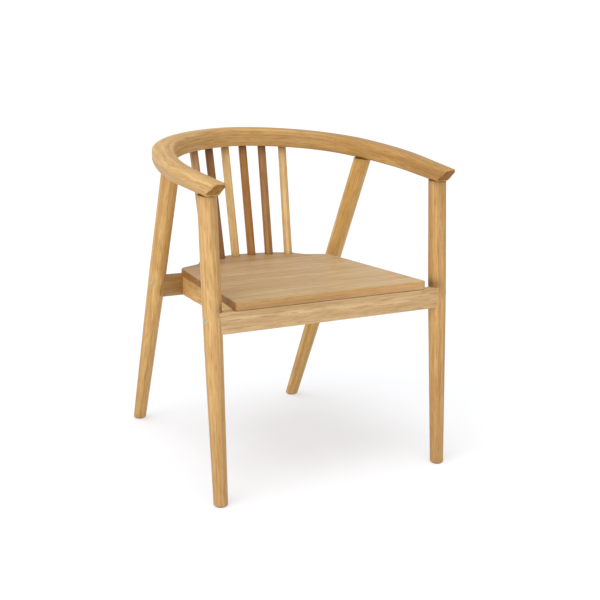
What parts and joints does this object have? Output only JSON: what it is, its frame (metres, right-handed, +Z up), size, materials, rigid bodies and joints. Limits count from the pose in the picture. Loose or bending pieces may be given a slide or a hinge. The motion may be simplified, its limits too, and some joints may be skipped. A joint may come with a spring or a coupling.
{
  "type": "wooden armchair",
  "caption": "Wooden armchair with a horseshoe arm and back rail, round back spindles, a shaped flat seat and four tapered round legs.",
  "frame": {"origin": "on the floor, under the middle of the chair", "axes": "+Z up; the sitter faces -Y; +X is on the right of someone looking at the front"},
  "size_m": [0.6338, 0.6606, 0.7614],
  "materials": {
    "rail_wood": "satin lacquer",
    "leg_wood": "satin lacquer",
    "spindle_wood_light": "satin lacquer",
    "spindle_wood_brown": "satin lacquer",
    "seat_wood": "satin lacquer",
    "frame_wood": "satin lacquer",
    "block_wood": "raw",
    "plug_wood": "satin lacquer",
    "dowel_wood": "raw",
    "zinc_steel": "zinc plated",
    "glide_plastic": "matte"
  },
  "bodies": {
    "root": {"left_arm": "rail_wood", "right_arm": "rail_wood", "back_rail": "rail_wood", "splice_dowel_left_lower": "dowel_wood", "splice_dowel_left_upper": "dowel_wood", "splice_dowel_right_lower": "dowel_wood", "splice_dowel_right_upper": "dowel_wood", "spindle_1": "spindle_wood_light", "spindle_2": "spindle_wood_brown", "spindle_3": "spindle_wood_light", "spindle_4": "spindle_wood_brown", "spindle_5": "spindle_wood_brown", "spindle_6": "spindle_wood_light", "front_left_leg": "leg_wood", "front_right_leg": "leg_wood", "rear_left_leg": "leg_wood", "rear_right_leg": "leg_wood", "front_left_glide": "glide_plastic", "front_right_glide": "glide_plastic", "rear_left_glide": "glide_plastic", "rear_right_glide": "glide_plastic", "front_left_plug": "plug_wood", "front_right_plug": "plug_wood", "rear_left_plug": "plug_wood", "rear_right_plug": "plug_wood", "front_left_bolt": "zinc_steel", "front_right_bolt": "zinc_steel", "rear_left_bolt": "zinc_steel", "rear_right_bolt": "zinc_steel", "front_left_barrel_nut": "zinc_steel", "front_right_barrel_nut": "zinc_steel", "rear_left_barrel_nut": "zinc_steel", "rear_right_barrel_nut": "zinc_steel", "front_left_corner_block": "block_wood", "front_right_corner_block": "block_wood", "rear_left_corner_block": "block_wood", "rear_right_corner_block": "block_wood", "front_left_seat_screw": "zinc_steel", "front_right_seat_screw": "zinc_steel", "rear_left_seat_screw": "zinc_steel", "rear_right_seat_screw": "zinc_steel", "front_rail": "frame_wood", "rear_rail": "frame_wood", "left_side_rail": "frame_wood", "right_side_rail": "frame_wood", "seat_board_1": "seat_wood", "seat_board_2": "seat_wood", "seat_board_3": "seat_wood", "seat_board_4": "seat_wood", "seat_board_5": "seat_wood"}
  },
  "joints": []
}
